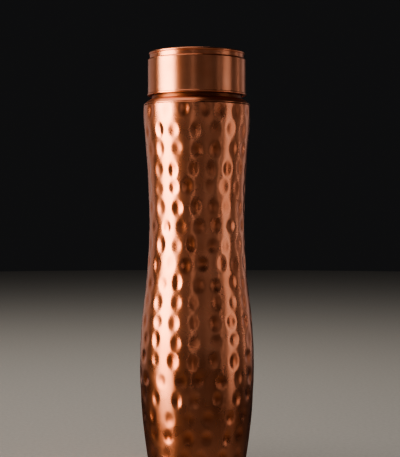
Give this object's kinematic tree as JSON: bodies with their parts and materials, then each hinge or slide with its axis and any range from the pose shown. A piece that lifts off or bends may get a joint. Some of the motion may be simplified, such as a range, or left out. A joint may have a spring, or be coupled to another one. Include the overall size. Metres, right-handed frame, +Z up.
{
  "type": "water bottle",
  "caption": "Hammered copper water bottle with a waisted body and a screw cap that unscrews and lifts off a threaded neck.",
  "frame": {"origin": "middle of the foot, on the surface that the bottle stands on", "axes": "+Z up along the bottle's axis, towards the cap; the front faces -Y"},
  "size_m": [0.074, 0.074, 0.2748],
  "materials": {
    "hammered_copper": "planished and polished copper with soft hammer marks",
    "spun_copper": "spun copper with faint round-and-round brush lines",
    "turned_copper": "turned copper with fine tool lines",
    "pressed_copper": "pressed copper sheet, satin",
    "silicone": "soft translucent white silicone, matt"
  },
  "bodies": {
    "bottle": {"body_shell": "hammered_copper", "base_plate": "pressed_copper", "shoulder_ring": "spun_copper", "neck_sleeve": "turned_copper"},
    "seal": {"cap_seal": "silicone"},
    "cap": {"cap_skirt": "spun_copper", "cap_top_plate": "spun_copper", "cap_thread_sleeve": "turned_copper", "cap_inner_disc": "pressed_copper"}
  },
  "joints": [
    {"name": "cap_rise", "type": "slide", "parent": "bottle", "child": "seal", "axis": [0, 0, 1], "range_m": [0, 0.02]},
    {"name": "cap_turn", "type": "hinge", "parent": "seal", "child": "cap", "pos_m": [0, 0, 0.2664], "axis": [0, 0, 1], "range_deg": [0, 1440]}
  ],
  "couplings": [
    {"joint": "cap_rise", "follows": "cap_turn", "m_per_rad": 0.00079577}
  ]
}
